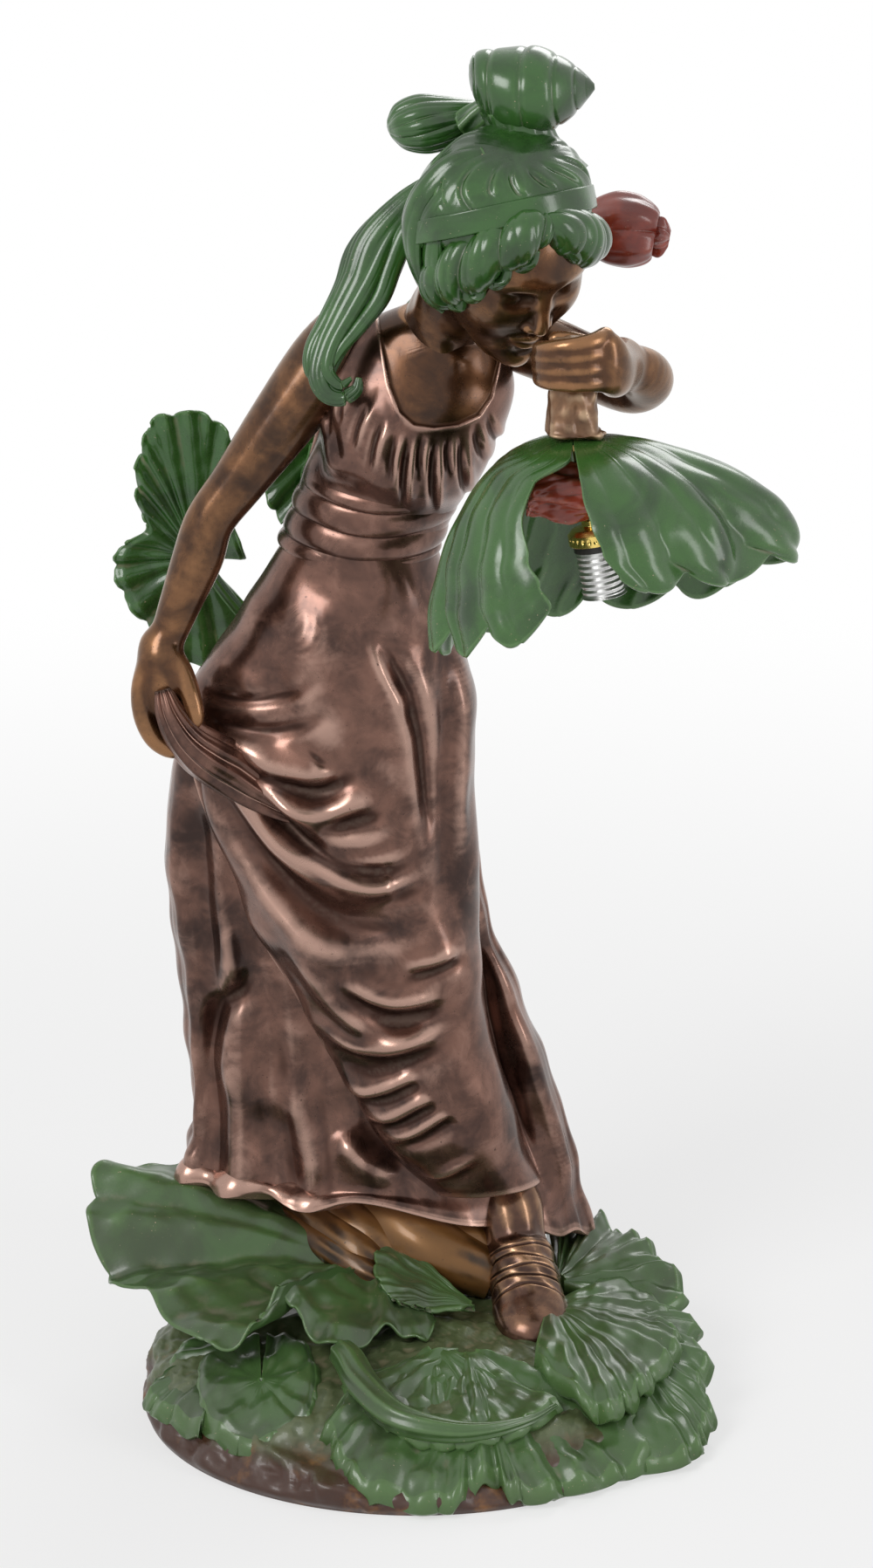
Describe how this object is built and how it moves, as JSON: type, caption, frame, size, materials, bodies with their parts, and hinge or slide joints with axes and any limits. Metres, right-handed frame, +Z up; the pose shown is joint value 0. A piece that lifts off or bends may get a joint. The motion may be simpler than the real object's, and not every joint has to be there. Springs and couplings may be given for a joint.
{
  "type": "figural table lamp",
  "caption": "Figural table lamp: a woman in a draped skirt on a mound of leaves holds a stem with a hanging leaf-shaped shade and a bare screw lampholder under it.",
  "frame": {"origin": "middle of the flat underside of the base, on the table", "axes": "+Z up, -Y the side the figure faces, +X the side the shade hangs on"},
  "size_m": [0.4866, 0.4381, 0.9839],
  "materials": {
    "dress_bronze": "dark reddish-brown patina, polished on the ridges of the folds",
    "skin_bronze": "warm golden-brown patina, softly polished",
    "leaf_green": "mid-green cold paint, glossy, dusty in the hollows and worn at the rims",
    "hair_green": "mid-green cold paint, glossy, grey dust between the strands",
    "base_bronze": "green and brown paint over bronze, brown and worn along the foot",
    "root_ochre": "ochre-brown patina rubbed golden on the ridges",
    "stalk_green": "green cold paint",
    "stem_ochre": "ochre-brown patina, worn facets",
    "poppy_red": "brick-red cold paint, darker in the creases",
    "sleeve_red": "brick-red paint, crumpled and chipped",
    "ring_black": "black, ribbed",
    "plate_steel": "rolled sheet, dull",
    "screw_steel": "turned steel",
    "fitting_brass": "plain turned brass",
    "cap_brass": "spun and lacquered brass",
    "insulator_black": "dark moulded insulator",
    "shell_aluminium": "thin rolled aluminium",
    "lead_sheath": "insulated stranded leads"
  },
  "bodies": {
    "root": {"back_leaf": "leaf_green", "base_casting": "base_bronze", "base_cover": "plate_steel", "bodice": "dress_bronze", "calyx": "sleeve_red", "calyx_ring": "ring_black", "cap_screw": "screw_steel", "centre_contact": "fitting_brass", "cover_screws": "screw_steel", "curled_leaf": "leaf_green", "fan_leaf": "leaf_green", "figure_pins": "screw_steel", "foot_leaf": "leaf_green", "front_leaf": "leaf_green", "front_skirt": "dress_bronze", "hair_band": "hair_green", "hair_cap": "hair_green", "hair_fringe": "hair_green", "hair_lock": "hair_green", "head": "skin_bronze", "holder_cap": "cap_brass", "inlet_bush": "fitting_brass", "insulator": "insulator_black", "lampholder_leads": "lead_sheath", "large_bun": "hair_green", "left_arm": "skin_bronze", "left_hand": "skin_bronze", "left_lily_leaf": "leaf_green", "lock_nut": "fitting_brass", "low_side_leaf": "leaf_green", "poppy_cup": "poppy_red", "poppy_heart": "poppy_red", "rear_leaf": "leaf_green", "rear_skirt": "dress_bronze", "rear_stalk": "stalk_green", "right_arm": "skin_bronze", "right_hand": "skin_bronze", "root_stalks": "root_ochre", "round_leaf": "leaf_green", "sash": "dress_bronze", "screw_shell": "shell_aluminium", "shade_leaf": "leaf_green", "shade_stem": "stem_ochre", "shoe": "dress_bronze", "side_leaf": "leaf_green", "small_bun": "hair_green", "terminal_screws": "screw_steel", "threaded_tube": "fitting_brass", "waist_leaf": "leaf_green"}
  },
  "joints": []
}
